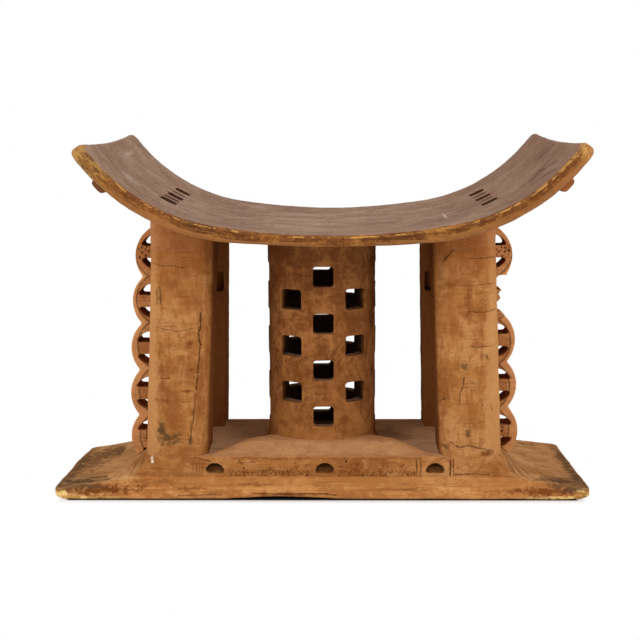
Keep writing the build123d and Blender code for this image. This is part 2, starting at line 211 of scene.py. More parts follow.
COLUMN_CRACKS = (
    crack(1, 0.7, (-124, 195.5), (-123.6, 184.1), (-125.9, 174.7), (-124.6, 164.3)),
    crack(0.8, 0.65, (-124.6, 164.3), (-126.6, 144.4), (-128, 126.5), (-130.8, 110.7)),
    crack(0.8, 0.4, (-130.8, 110.7), (-132.7, 87.3), (-135.7, 70.2), (-137, 59.5)),
    crack(0.4, 0.45, (-170.6, 181), (-161.4, 179.6), (-148, 177.9), (-126.4, 181)),
    crack(0.4, 0.4, (-172.1, 246.1), (-161.9, 245.2), (-153.7, 245), (-139.5, 242.9)),
    crack(0.5, 0.7, (-165.7, 127.6), (-156.3, 128.6)),
    crack(0.7, 0.5, (-165.5, 223.5), (-164.5, 204.9)),
    crack(0.9, 0.5, (145.1, 263.4), (131, 258.8), (125, 250.7)),
    crack(0.4, 0.45, (149.3, 252.6), (163.5, 252.2), (177.6, 252.6)),
    crack(0.4, 0.5, (133.5, 225.1), (151.8, 224), (166, 225), (180.2, 226)),
    crack(0.4, 0.45, (150.2, 197.3), (164.4, 196.6), (180.7, 198.3)),
    crack(0.4, 0.45, (152.8, 161), (167.1, 160.5), (182.5, 162)),
    crack(0.7, 0.6, (147.7, 128.5), (146.2, 119), (143.6, 113.8), (142.4, 101.1)),
    crack(0.7, 0.5, (133.6, 60.7), (142, 55.3), (154.5, 56.4), (162.8, 54.3), (171.1, 52.1), (175.4, 47.9)),
    crack(0.5, 0.6, (169.3, 154.7), (172.5, 146.3)),
    crack(0.5, 0.7, (127.9, 106.4), (124.8, 102.2)),
    crack(0.5, 0.6, (166.1, 104.3), (167.2, 99)),
    crack(0.5, 0.6, (176.5, 100), (177.2, 93.7)),
)
COLUMN_SMUDGES = (
    *smudges(
        SMUDGE_GREY,
        (-166, 74.5, 6.5, 9, 0.85),
        (-160, 64, 14, 8.5, 0.85),
        (-137, 61, 3.5, 8, 0.65),
    ),
    *smudges(
        SCAR_BROWN,
        (-134.9, 163.3, 5.5, 4, 0.9),
        (-134.4, 137.1, 4.5, 2.5, 0.8),
        (-138, 114.7, 10, 2, 0.9),
        (-163.1, 104.3, 9, 3, 0.8),
    ),
    *smudges(SMUDGE_GREY, (-168, 213, 3, 12, 0.5)),
    *smudges(
        SCAR_BROWN,
        (130.4, 225.1, 10, 6, 0.7),
        (150.8, 210, 4, 22, 0.6),
    ),
    *smudges(
        SMUDGE_GREY,
        (147.6, 140.1, 5, 6, 0.65),
        (152.2, 70.3, 3.5, 7.5, 0.75),
        (129.6, 55.3, 5, 4, 0.7),
    ),
    *smudges(
        SCAR_BROWN,
        (172.3, 46.8, 8, 5, 0.9),
        (165, 150, 3, 10, 0.5),
    ),
)
PLINTH_CRACKS = (
    crack(0.6, 0.7, (-134.2, 44), (-116.5, 40.2)),
    crack(0.7, 0.45, (-86.5, 41.2), (-83, 36.6)),
    *(crack(0.6, 0.7, (x, 43.5), (x, 24)) for x in (99, 103.4)),
    crack(0.7, 0.8, (134.4, 44.5), (134.4, 24)),
    crack(0.6, 0.7, (137.8, 43.5), (137.8, 24)),
    crack(0.6, 0.5, (139.3, 25.8), (175.8, 25.8)),
    *(crack(0.6, 0.6, (x, 26.4), (x, 24)) for x in (-14.1, 18.3)),
    crack(1.1, 0.9, (25.6, 40.2), (25.6, 39.2)),
    *(crack(0.4, 0.35, (x, 38), (x, 28.3)) for x in (-134.3, -131.2, -128, -124.8)),
)
PLINTH_SMUDGES = smudges(
    SCAR_BROWN,
    (40, 42.5, 90, 1.6, 0.45),
    (-60, 42.5, 50, 1.4, 0.4),
)
BOARD_CRACKS = (
    crack(0.6, 0.65, (-72, 7.8), (-45, 6.8), (-15, 7.4), (15, 6)),
    crack(0.5, 0.5, (-150, 5), (-105, 6.2)),
)
SEAT_CRACKS = (
    crack(1.6, 0.35, (209.9, -66.1), (225.9, -53.8), (241.3, -86.9)),
    crack(1.6, 0.4, (236.4, 10.6), (248.3, 2.3), (257.9, -4.3)),
    crack(1.4, 0.3, (207.9, -82.2), (222.5, -96.9), (231, -120)),
    crack(1.2, 0.7, (-101, -50), (-99.4, -50.6)),
    crack(1.1, 0.6, (-3.4, 11.3), (-2.2, 11.7)),
    crack(1.1, 0.6, (13.3, 65), (14.5, 64.6)),
)
SEAT_SMUDGES = (
    *smudges(
        CHALK,
        (119, -25, 2.2, 50, 0.6),
        (-217, -65, 13, 18, 0.35),
        (-245, 45, 4, 40, 0.35),
    ),
    *smudges(
        SEAT_TONES.dark,
        (220, -60, 26, 30, 0.5),
        (245, 10, 18, 60, 0.45),
        (100, -70, 60, 45, 0.3),
    ),
    *smudges(SEAT_TONES.pale, (-20, 10, 90, 50, 0.3)),
    *smudges(SEAT_TONES.dark, (-130, -90, 50, 30, 0.3)),
)
CENTRE_SMUDGES = smudges(
    SCAR_BROWN,
    (-43, 235, 7, 16, 0.75),
    (-38, 252, 10, 8, 0.6),
    (18, 229, 6, 7, 0.7),
    (-19, 180, 7, 8, 0.75),
    (15, 186, 6, 6, 0.6),
    (-13, 203, 6, 12, 0.6),
    (34, 183, 13, 4, 0.65),
    (-40, 180, 8, 6, 0.5),
    (20, 133, 5, 5, 0.6),
    (-24, 128, 6, 5, 0.55),
    (28, 77, 10, 6, 0.7),
    (-23, 76, 8, 7, 0.7),
    (-42, 70, 8, 5, 0.6),
    (45, 95, 6, 5, 0.5),
)
BOARD_SMUDGES = smudges(
    END_GREY,
    (248, -76, 34, 15, 0.9),
    (270, -10, 8, 90, 0.85),
    (225, 70, 26, 10, 0.5),
    (-250, -74, 34, 15, 0.95),
    (-270, 0, 9, 80, 0.8),
    (-235, 45, 38, 38, 0.8),
    (-255, 0, 20, 60, 0.6),
)
BOARD_FRONT_SMUDGES = (
    *smudges(
        SCAR_BROWN,
        (-230, 11, 50, 9, 1),
        (-175, 19, 35, 5, 0.5),
    ),
    *smudges(END_GREY, (-248, 15, 30, 4, 0.8)),
    *smudges(
        SCAR_BROWN,
        (-135, 13, 22, 2.5, 0.7),
        (-70, 16, 30, 2, 0.6),
        (-25, 6, 50, 2.2, 0.6),
        (85, 12, 40, 2, 0.45),
        (230, 10, 48, 7.5, 0.9),
    ),
    *smudges(
        END_GREY,
        (264, 12, 18, 5.5, 0.8),
        (250, 15, 28, 4, 0.8),
    ),
)


# ---------------------------------------------------------------- node trees
class Value:
    """A number or vector in a node tree. Arithmetic on it adds the nodes that work it out."""

    def __init__(self, graph: "NodeGraph", socket: Socket) -> None:
        """Wraps one output of a node."""
        self.graph = graph
        self.socket = socket

    def __add__(self, other: "Number") -> "Value":
        """Returns the sum."""
        return self.graph.work("ADD", self, other)

    def __radd__(self, other: float) -> "Value":
        """Returns the sum, for a number that comes first."""
        return self.graph.work("ADD", other, self)

    def __sub__(self, other: "Number") -> "Value":
        """Returns the difference."""
        return self.graph.work("SUBTRACT", self, other)

    def __rsub__(self, other: float) -> "Value":
        """Returns the difference, for a number that comes first."""
        return self.graph.work("SUBTRACT", other, self)

    def __mul__(self, other: "Number") -> "Value":
        """Returns the product."""
        return self.graph.work("MULTIPLY", self, other)

    def __truediv__(self, other: "Number") -> "Value":
        """Returns the quotient."""
        return self.graph.work("DIVIDE", self, other)

    def __abs__(self) -> "Value":
        """Returns the number without its sign."""
        return self.graph.work("ABSOLUTE", self)

    def at_least(self, other: "Number") -> "Value":
        """Returns the larger of the two."""
        return self.graph.work("MAXIMUM", self, other)

    def at_most(self, other: "Number") -> "Value":
        """Returns the smaller of the two."""
        return self.graph.work("MINIMUM", self, other)

    def fade(self, none: float, full: float) -> "Value":
        """Returns a smooth step.

        Args:
            none: Where the result is 0.
            full: Where the result is 1, above or below none.
        """
        ends = {"Value": self, "From Min": none, "From Max": full}
        return self.graph.get("ShaderNodeMapRange", ends, interpolation_type="SMOOTHSTEP")

    def within(self, low: float, high: float, soft: float) -> "Value":
        """Returns 1 between low and high, fading to 0 over soft beyond each."""
        return self.fade(low - soft, low) * self.fade(high + soft, high)


Number = Value | float


class NodeGraph:
    """A node tree, wired node by node."""

    def __init__(self, tree: bpy.types.NodeTree) -> None:
        """Takes over a node tree and empties it."""
        self.nodes = tree.nodes
        self.links = tree.links
        self.nodes.clear()

    def feed(self, socket: Socket, value: object) -> None:
        """Links a socket to another, or sets its own value.

        Args:
            socket: The input to feed.
            value: A value of the tree, a socket, a number or a row of numbers.
        """
        source = value.socket if isinstance(value, Value) else value
        if isinstance(source, Socket):
            self.links.new(source, socket)
        else:
            socket.default_value = source

    def add(self, kind: str, inputs: dict[str | int, object], **settings: object) -> bpy.types.Node:
        """Adds a node.

        Args:
            kind: Blender's name of its kind.
            inputs: What its inputs are fed, by name or number.
            **settings: The node's own settings.

        Returns:
            The node.
        """
        node = self.nodes.new(kind)
        for key, setting in settings.items():
            setattr(node, key, setting)
        for key, value in inputs.items():
            self.feed(node.inputs[key], value)
        return node

    def get(self, kind: str, inputs: dict, output: str | int = 0, **settings: object) -> Value:
        """Adds a node in the same way, and returns one of its outputs: the first if none is named."""
        return Value(self, self.add(kind, inputs, **settings).outputs[output])

    def work(self, operation: str, first: Number, second: Number = 0.0) -> Value:
        """Returns the outcome of one Math operation on two numbers."""
        return self.get("ShaderNodeMath", {0: first, 1: second}, operation=operation)

    def vector_work(self, operation: str, first: object, second: object = NOWHERE, output: int = 0) -> Value:
        """Returns the outcome of one Vector Math operation."""
        inputs = {0: first, (3 if operation == "SCALE" else 1): second}
        return self.get("ShaderNodeVectorMath", inputs, output, operation=operation)

    def most(self, *values: Number) -> Number:
        """Returns the largest of the numbers."""
        largest = values[0]
        for value in values[1:]:
            largest = self.work("MAXIMUM", largest, value)
        return largest

    def slant(self, run: Value, climb: Value) -> Value:
        """Returns the distance covered by going one way and then square to it."""
        return self.work("SQRT", run * run + climb * climb)


class WoodGraph(NodeGraph):
    """A wood's node tree, painted stroke by stroke: a running colour, carved height and roughness."""

    def __init__(self, name: str, roughness: float, shine: float = 0.0) -> None:
        """Starts a material.

        Args:
            name: The material's name.
            roughness: The bare wood's roughness.
            shine: Its specular level.
        """
        self.material = bpy.data.materials.new(name)
        self.material.use_nodes = True
        super().__init__(self.material.node_tree)
        self.place = self.get("ShaderNodeTexCoord", {}, "Object")
        geometry = self.add("ShaderNodeNewGeometry", {})
        self.pointiness = Value(self, geometry.outputs["Pointiness"])
        self.x, self.y, self.z = self.split(self.place)
        _, self.facing_y, self.facing_z = self.split(geometry.outputs["Normal"])
        self.colour: Value | None = None
        self.height: Number = 0.0
        self.roughness: Number = roughness
        self.shine = shine
        self.read_grain()

    def split(self, vector: object) -> tuple[Value, Value, Value]:
        """Returns a vector's x, y and z."""
        parts = self.add("ShaderNodeSeparateXYZ", {0: vector}).outputs
        return Value(self, parts[0]), Value(self, parts[1]), Value(self, parts[2])

    def join(self, x: Number, y: Number, z: Number) -> Value:
        """Returns the vector of three numbers."""
        return self.get("ShaderNodeCombineXYZ", {0: x, 1: y, 2: z})

    def cells(self, size: Point, shift: Point) -> Value:
        """Returns the place counted in cells of a size, and shifted by some cells."""
        scale = self.vector_work("MULTIPLY", self.place, tuple(1 / length for length in size))
        return self.vector_work("ADD", scale, shift)

    def clouds(
        self,
        size: Point,
        detail: float = 4.0,
        roughness: float = 0.6,
        seed: float = 0.0,
        warp: float = 0.0,
    ) -> Value:
        """Returns a soft noise from 0 to 1.

        Args:
            size: How long a cloud is along x, y and z, in metres.
            detail: How many finer layers it has.
            roughness: How strong the finer layers are.
            seed: Picks another piece of the same noise.
            warp: How far it is distorted.
        """
        place = self.cells(size, (seed, seed * 0.7, seed * 1.3))
        inputs = {"Vector": place, "Scale": 1.0, "Detail": detail, "Roughness": roughness, "Distortion": warp}
        return self.get("ShaderNodeTexNoise", inputs)

    def pits(self, size: Point, seed: float) -> Value:
        """Returns the distance to scattered points, in cells of the given size."""
        inputs = {"Vector": self.cells(size, (seed, seed, seed)), "Scale": 1.0}
        return self.get("ShaderNodeTexVoronoi", inputs, "Distance")

    def blend(self, mask: Number, under: Value, over: object) -> None:
        """Mixes the running colour: the one under where the mask is 0, and the one over where it is 1."""
        inputs = {0: mask, 6: under, 7: over}
        self.colour = self.get("ShaderNodeMix", inputs, 2, data_type="RGBA", clamp_factor=True)

    def paint(self, mask: Number, tint: Tint) -> None:
        """Lays a colour over the running colour where the mask is above 0."""
        self.blend(mask, self.colour, tint.linear())

    def cover(self, mask: Number, under: Value) -> None:
        """Keeps the running colour where the mask is 1, and goes back to the one under it elsewhere."""
        self.blend(mask, under, self.colour)

    def cut(self, mask: Number, depth: float) -> None:
        """Sinks the surface by a depth in metres where the mask is above 0."""
        self.height = self.height - mask * depth

    def sheet(self, side: Sheet, waver: float) -> Value:
        """Returns the place on one side of the stool, flattened onto x and z, for marks to be drawn on.

        Args:
            side: The side that is flattened.
            waver: How far a drawn line wanders, in metres.
        """
        drift = self.clouds((0.011, 0.011, 0.011), 2.0, 0.6, 4.4)
        shift = (drift - 0.5) * (2 * waver)
        upward = self.z if side is Sheet.FRONT else self.y
        across = self.split(self.place)[0] if side is Sheet.SEAT else self.x
        return self.join(across + shift, 0.0, upward - shift)

    def line(self, sheet: Value, points: tuple[tuple[float, float], ...], width: float) -> Number:
        """Returns 1 on a line through points on a sheet, and 0 beyond its half width."""
        masks = []
        for start, end in zip(points, points[1:]):
            run = (end[0] - start[0], 0.0, end[1] - start[1])
            square = run[0] ** 2 + run[2] ** 2
            offset = self.vector_work("SUBTRACT", sheet, (start[0], 0.0, start[1]))
            share = self.vector_work("DOT_PRODUCT", offset, tuple(part / square for part in run), 1)
            share = share.at_least(0.0).at_most(1.0)
            foot = self.vector_work("SCALE", run, share)
            distance = self.vector_work("DISTANCE", offset, foot, 1)
            masks.append((distance + self.flaw * (5 * width)).fade(width, width * 0.3))
        return self.most(*masks)

    def blotch(self, sheet: Value, smudge: Smudge) -> Number:
        """Returns a ragged blotch on a sheet, 1 at its heart."""
        offset = self.vector_work("SUBTRACT", sheet, (smudge.middle[0], 0.0, smudge.middle[1]))
        scaled = self.vector_work("MULTIPLY", offset, (1 / smudge.reach[0], 0.0, 1 / smudge.reach[1]))
        distance = self.vector_work("LENGTH", scaled, output=1)
        torn = self.clouds((0.008, 0.008, 0.007), 6.0, 0.78, 2.2) * 4.2
        return (distance + torn).fade(3.15, 2.25) * smudge.strength

    def read_grain(self) -> None:
        """Lays out the wood's own unevenness where its place says, for colours and height to follow."""
        self.fibre = self.clouds((0.11, 0.0035, 0.0035), 5.0, 0.65)
        self.broad = self.clouds((0.06, 0.035, 0.04), 4.0, 0.55, 3.1, 0.6)
        self.mottle = self.clouds((0.016, 0.012, 0.012), 5.0, 0.68, 7.7, 0.6)
        self.speck = self.clouds((0.0024, 0.0017, 0.0017), 2.0, 0.6, 5.3)
        self.fleck = self.clouds((0.007, 0.005, 0.0045), 5.0, 0.72, 9.1, 0.5)
        self.flaw = self.clouds((0.006, 0.006, 0.006), 4.0, 0.7, 6.6) - 0.5
        level = self.clouds((0.16, 0.011, 0.011), 2.0, 0.6, 1.9, 0.2)
        patchy = self.clouds((0.03, 0.02, 0.02), 2.0, 0.5, 8.8).fade(0.5, 0.62)
        self.hair = level.within(0.5, 0.501, 0.006) * patchy

    def mix_tones(self, wood: WoodTones, contrast: float = 1.0) -> None:
        """Starts the running colour afresh with one wood's tones, laid by its grain.

        Args:
            wood: The wood's colours.
            contrast: How strongly the tones differ.
        """
        ground = self.add("ShaderNodeRGB", {})
        ground.outputs[0].default_value = wood.ground.linear()
        self.colour = Value(self, ground.outputs[0])
        washes = (
            (self.broad.fade(0.51, 0.62), 0.6, wood.pale),
            (self.broad.fade(0.48, 0.38), 0.55, wood.dark),
            (self.mottle.fade(0.5, 0.62), 0.55, wood.stain),
            (self.mottle.fade(0.45, 0.36), 0.4, wood.pale),
            (self.fleck.fade(0.54, 0.66), 0.5, wood.dark),
            (self.fleck.fade(0.42, 0.34), 0.35, wood.pale),
            (self.fibre.fade(0.53, 0.7), 0.45, wood.dark),
            (self.speck.fade(0.55, 0.78), 0.45, wood.dark),
        )
        for mask, strength, tint in washes:
            self.paint(mask * (strength * contrast), tint)
        self.paint(self.hair * 0.4, wood.dirt_and_shade)

    def carve_grain(self, wood: WoodTones, fibre_depth: float = 0.0005) -> None:
        """Sinks the grain into the surface, wears its edges and darkens its concave creases with dirt and
        painted shade.

        Args:
            wood: The wood's colours, for the wear and for the dirt and painted shade in the creases.
            fibre_depth: How deep the fibres are, in metres.
        """
        self.cut(self.fibre, fibre_depth)
        self.cut(self.mottle, 0.0009)
        self.cut(self.fleck, 0.0004)
        self.cut(self.speck, 0.0001)
        self.cut(self.hair, 0.0003)
        off_seam = abs(self.z - HEAD_SEAM).fade(0.003, 0.007)
        self.paint(self.pointiness.fade(0.515, 0.58) * off_seam * 0.6, wood.worn)
        # Dirt and painted shade: concave creases are darkened, standing in for the shade that gathers there.
        self.paint(self.pointiness.fade(0.487, 0.43) * off_seam * 0.8, wood.dirt_and_shade)
        self.roughness = self.roughness + self.mottle * 0.12

    def paint_shaft(self) -> None:
        """Paints a standing member's wood, with upright stains, a painted highlight on its lit outer edges,
        painted shade darkening its top under the seat, and painted shade on its inward and forward faces.
        """
        self.mix_tones(BODY_TONES)
        upright = self.clouds((0.010, 0.012, 0.045), 5.0, 0.68, 12.4, 0.8)
        self.paint(upright.fade(0.5, 0.6) * 0.5, BODY_TONES.stain)
        self.paint(upright.fade(0.44, 0.35) * 0.35, BODY_TONES.pale)
        drift = self.flaw * 0.02
        reach = abs(self.x)
        # Painted highlight: the outer front edges are painted paler, as the side lamps light them.
        outer_highlight = (reach + drift).fade(LIT_EDGE - 0.008, LIT_EDGE)
        self.paint(outer_highlight * (self.y + drift).fade(-0.04, -0.058) * 0.7, BODY_TONES.pale)
        # Painted shade under the seat's overhang: the top of the shaft is darkened, in the stain colour.
        high = (self.z + drift).fade(0.222, 0.262)
        self.paint(high * 0.5, BODY_TONES.stain)
        # Painted shade: faces behind the front row that look forwards or inwards, and the front columns'
        # inner faces, are darkened.
        unlit = self.facing_y.fade(0.55, 0.25) * reach.fade(LIT_EDGE, 0.16)
        self.paint(self.y.fade(-0.072, -0.045) * unlit * 0.85, REAR_SHADE_TONES.ground)
        inner = self.y.within(-0.068, 0.0, 0.009) * reach.fade(0.135, 0.125)
        self.paint(inner * 0.85, REAR_SHADE_TONES.dark)

    def draw_marks(
        self,
        side: Sheet,
        where: Number,
        splits: tuple[Crack, ...],
        blotches: tuple[Smudge, ...],
    ) -> None:
        """Draws cracks and smudges on one side of the piece.

        Args:
            side: The side they are drawn on.
            where: The mask that keeps them on that side.
            splits: The cracks.
            blotches: The smudges.
        """
        drawing = self.sheet(side, LINE_WAVER)
        for smudge in blotches:
            self.paint(self.blotch(drawing, smudge) * where, smudge.tint)
        for split in splits:
            mask = self.line(drawing, split.points, split.width) * where
            self.paint(mask * split.strength, CRACK_BLACK)
            self.cut(mask, 2 * split.width)

    def done(self) -> bpy.types.Material:
        """Joins the strokes to the shader and returns the material."""
        bump = self.get("ShaderNodeBump", {"Strength": 1.0, "Distance": 1.0, "Height": self.height})
        finish = {"Roughness": self.roughness, "Specular IOR Level": self.shine, "Normal": bump}
        shader = self.get("ShaderNodeBsdfPrincipled", {"Base Color": self.colour, **finish})
        self.add("ShaderNodeOutputMaterial", {0: shader})
        return self.material


# ---------------------------------------------------------------- working on meshes
def select_only(piece: bpy.types.Object) -> None:
    """Makes one object the only selected one, and the active one."""
    bpy.ops.object.select_all(action="DESELECT")
    piece.select_set(True)
    bpy.context.view_layer.objects.active = piece


@contextmanager
def editing(piece: bpy.types.Object) -> Iterator[None]:
    """Opens an object's mesh for editing with all of it selected, and closes it afterwards."""
    select_only(piece)
    bpy.ops.object.mode_set(mode="EDIT")
    bpy.ops.mesh.select_all(action="SELECT")
    yield
    bpy.ops.object.mode_set(mode="OBJECT")


def apply_modifier(piece: bpy.types.Object, kind: str, **settings: object) -> None:
    """Puts a modifier on an object and applies it.

    Args:
        piece: The object.
        kind: Blender's name of the modifier's kind.
        **settings: The modifier's own settings.
    """
    modifier = piece.modifiers.new(kind.lower(), kind)
    for key, value in settings.items():
        setattr(modifier, key, value)
    select_only(piece)
    bpy.ops.object.modifier_apply(modifier=modifier.name)


@dataclass(frozen=True)
class Lap:
    """A flat mating face that runs on into the neighbour: its height and which way it faces."""

    height: float
    upward: bool


FOOT_LAP = Lap(PLINTH_TOP, False)
TOP_LAP = Lap(HEAD_SEAM, True)


@dataclass(frozen=True)
class Skin:
    """How a member's skin is made from its solid.

    Attributes:
        voxel: The skin's mesh size, in metres.
        rounding: How often it is smoothed, which wears its edges round.
        waviness: How deep the slow unevenness of hand carving is, in metres.
        tool_marks: How deep the marks of the blade are, in metres.
        mark_length: How long a blade mark is along the block, in metres.
    """

    voxel: float
    rounding: int
    waviness: float
    tool_marks: float
    mark_length: float


def copy_solid(nodes: dict[str, bpy.types.Object], node: str) -> bpy.types.Object:
    """Returns a copy of a node's mesh as an object of its own, its loose triangles merged."""
    piece = bpy.data.objects.new(f"{node}_carved", nodes[node].data.copy())
    bpy.context.scene.collection.objects.link(piece)
    piece.data.materials.clear()
    with editing(piece):
        bpy.ops.mesh.remove_doubles(threshold=MERGE_DISTANCE)
    return piece


def run_into_neighbour(piece: bpy.types.Object, lap: Lap) -> None:
    """Extrudes a mating face into what it stands on or carries, so that no seam shows.

    Args:
        piece: The member.
        lap: The face and the way it faces.
    """
    way = 1 if lap.upward else -1
    select_only(piece)
    bpy.ops.object.mode_set(mode="EDIT")
    bpy.ops.mesh.select_all(action="DESELECT")
    bpy.ops.mesh.select_mode(type="FACE")
    bpy.ops.object.mode_set(mode="OBJECT")
    for face in piece.data.polygons:
        beyond = way * (face.center.z - lap.height) > -FLATNESS
        face.select = beyond and way * face.normal.z > LAP_TILT
    bpy.ops.object.mode_set(mode="EDIT")
    bpy.ops.mesh.extrude_region_move(TRANSFORM_OT_translate={"value": (0, 0, way * LAP_LENGTH)})
    bpy.ops.object.mode_set(mode="OBJECT")


def middle_of(piece: bpy.types.Object) -> Vector:
    """Returns the middle of an object's box."""
    bpy.context.view_layer.update()
    return sum((Vector(corner) for corner in piece.bound_box), Vector()) / len(piece.bound_box)


def grow_skin(piece: bpy.types.Object, skin: Skin) -> None:
    """Turns a member's solid into an even skin, worn and uneven, and fits it to the solid's box.

    Args:
        piece: The member.
        skin: How the skin is made.
    """
    solid_size = piece.dimensions.copy()
    solid_middle = middle_of(piece)
    voxel = skin.voxel * 1.0
    apply_modifier(piece, "REMESH", mode="VOXEL", voxel_size=voxel, use_smooth_shade=True)
    apply_modifier(piece, "SMOOTH", factor=SMOOTHING, iterations=skin.rounding)
    stretch = bpy.data.objects.new("blade_direction", None)
    bpy.context.scene.collection.objects.link(stretch)
    blade_stretch = skin.mark_length / BLADE_WIDTH
    strokes = ((1.0, WAVE_SIZE, skin.waviness), (blade_stretch, BLADE_WIDTH, skin.tool_marks))
    for lengthening, size, depth in strokes:
        stretch.scale = (lengthening, 1.0, 1.0)
        bpy.context.view_layer.update()
        texture = bpy.data.textures.new("carving", "CLOUDS")
        texture.noise_scale = size
        texture.noise_depth = TEXTURE_DEPTH
        apply_modifier(
            piece,
            "DISPLACE",
            texture=texture,
            texture_coords="OBJECT",
            texture_coords_object=stretch,
            strength=depth,
            mid_level=1.0,
        )
    bpy.data.objects.remove(stretch)
    shift = solid_middle - middle_of(piece)
    growth = [whole / worn for whole, worn in zip(solid_size, piece.dimensions)]
    with editing(piece):
        bpy.ops.transform.translate(value=shift)
        bpy.ops.transform.resize(value=growth, center_override=solid_middle)
    bpy.ops.object.shade_smooth()


def carve(nodes: dict[str, bpy.types.Object], node: str, skin: Skin, *laps: Lap) -> bpy.types.Object:
    """Makes a member from its solid.

    Args:
        nodes: The frame's nodes.
        node: The member's node.
        skin: How its skin is made.
        *laps: The faces that run into its neighbours.

    Returns:
        The member, still undressed.
    """
    piece = copy_solid(nodes, node)
    for lap in laps:
        run_into_neighbour(piece, lap)
    grow_skin(piece, skin)
    return piece


def rise(value: float, none: float, full: float) -> float:
    """Returns 0 at none, 1 at full, and a smooth step between."""
    share = min(max((value - none) / (full - none), 0.0), 1.0)
    return share * share * (3 - 2 * share)


def sculpt(piece: bpy.types.Object, name: str, share: Callable[[Vector], float], distance: float) -> None:
    """Moves part of a skin up or down.

    Args:
        piece: The member.
        name: What is carved there, the name of the vertex group.
        share: Gives how much of the way each point moves, from 0 to 1.
        distance: The way upwards, in metres, or downwards below 0.
    """
    group = piece.vertex_groups.new(name=name)
    for vertex in piece.data.vertices:
        weight = share(vertex.co)
        if weight > 0:
            group.add([vertex.index], weight, "REPLACE")
    apply_modifier(piece, "DISPLACE", direction="Z", strength=distance, mid_level=0.0, vertex_group=name)


def settle(piece: bpy.types.Object, node: str, material: bpy.types.Material) -> None:
    """Dresses a finished piece and lets it stand for its node.

    Args:
        piece: The finished member.
        node: The node it stands for.
        material: Its wood.
    """
    piece.data.materials.clear()
    piece.data.materials.append(material)
    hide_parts(node)
    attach(piece, BODY)
    LOG.info("%s: %d faces", piece.name, len(piece.data.polygons))


